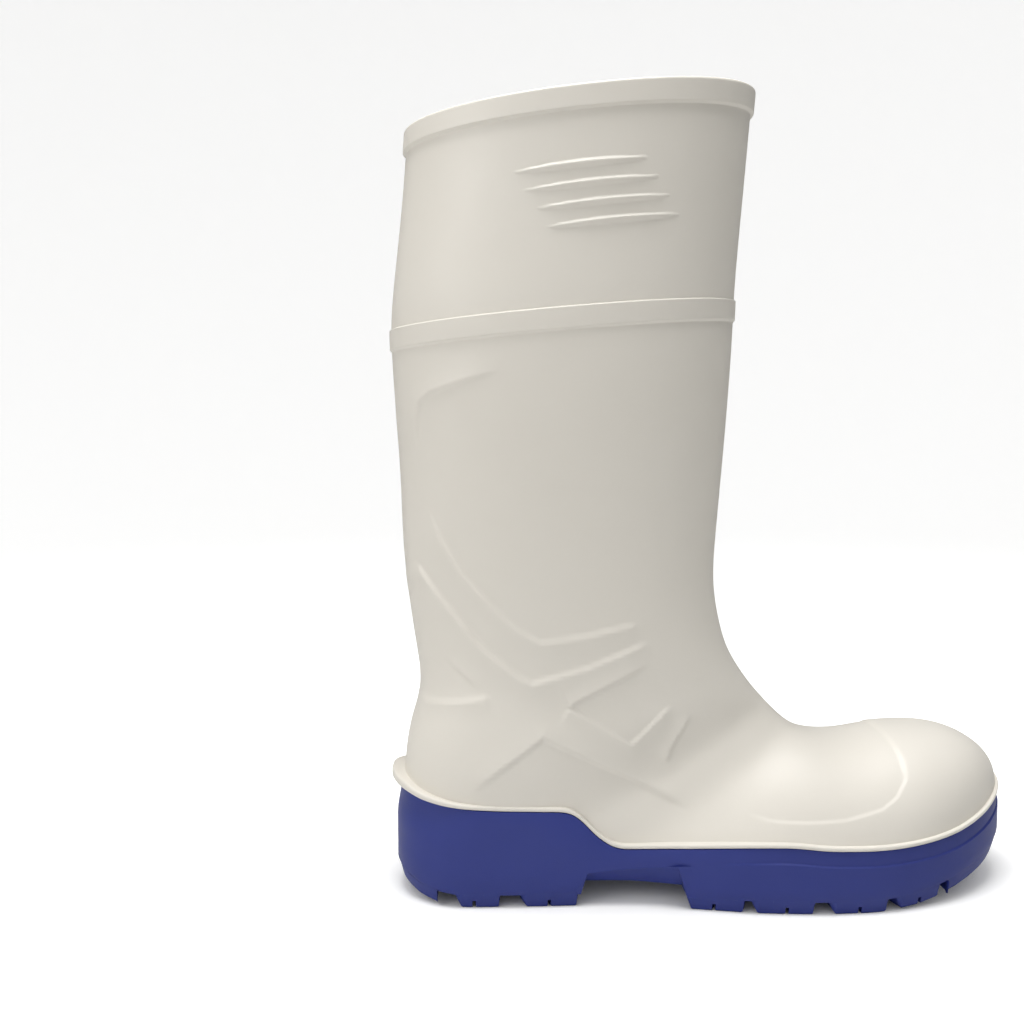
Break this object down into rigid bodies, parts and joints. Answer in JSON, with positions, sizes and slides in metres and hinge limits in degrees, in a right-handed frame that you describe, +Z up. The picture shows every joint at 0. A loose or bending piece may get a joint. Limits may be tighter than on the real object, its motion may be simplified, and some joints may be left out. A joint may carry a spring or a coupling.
{
  "type": "food industry boot",
  "caption": "Moulded knee-height wellington boot for food work: one white shell with raised collar, band, toe guard and heel spur on a lugged blue cup sole.",
  "frame": {"origin": "middle of the boot's footprint box, on the floor under the lugs", "axes": "+X to the toe, +Y to the inner (medial) side, +Z up the shaft"},
  "size_m": [0.3124, 0.1091, 0.3885],
  "materials": {
    "white_moulding": "satin moulded polyurethane, warm off-white",
    "blue_moulding": "satin moulded polyurethane, blue",
    "lining_foam": "pale knitted lining over foam"
  },
  "bodies": {
    "root": {"upper": "white_moulding", "outsole": "blue_moulding", "insole": "lining_foam"}
  },
  "joints": []
}
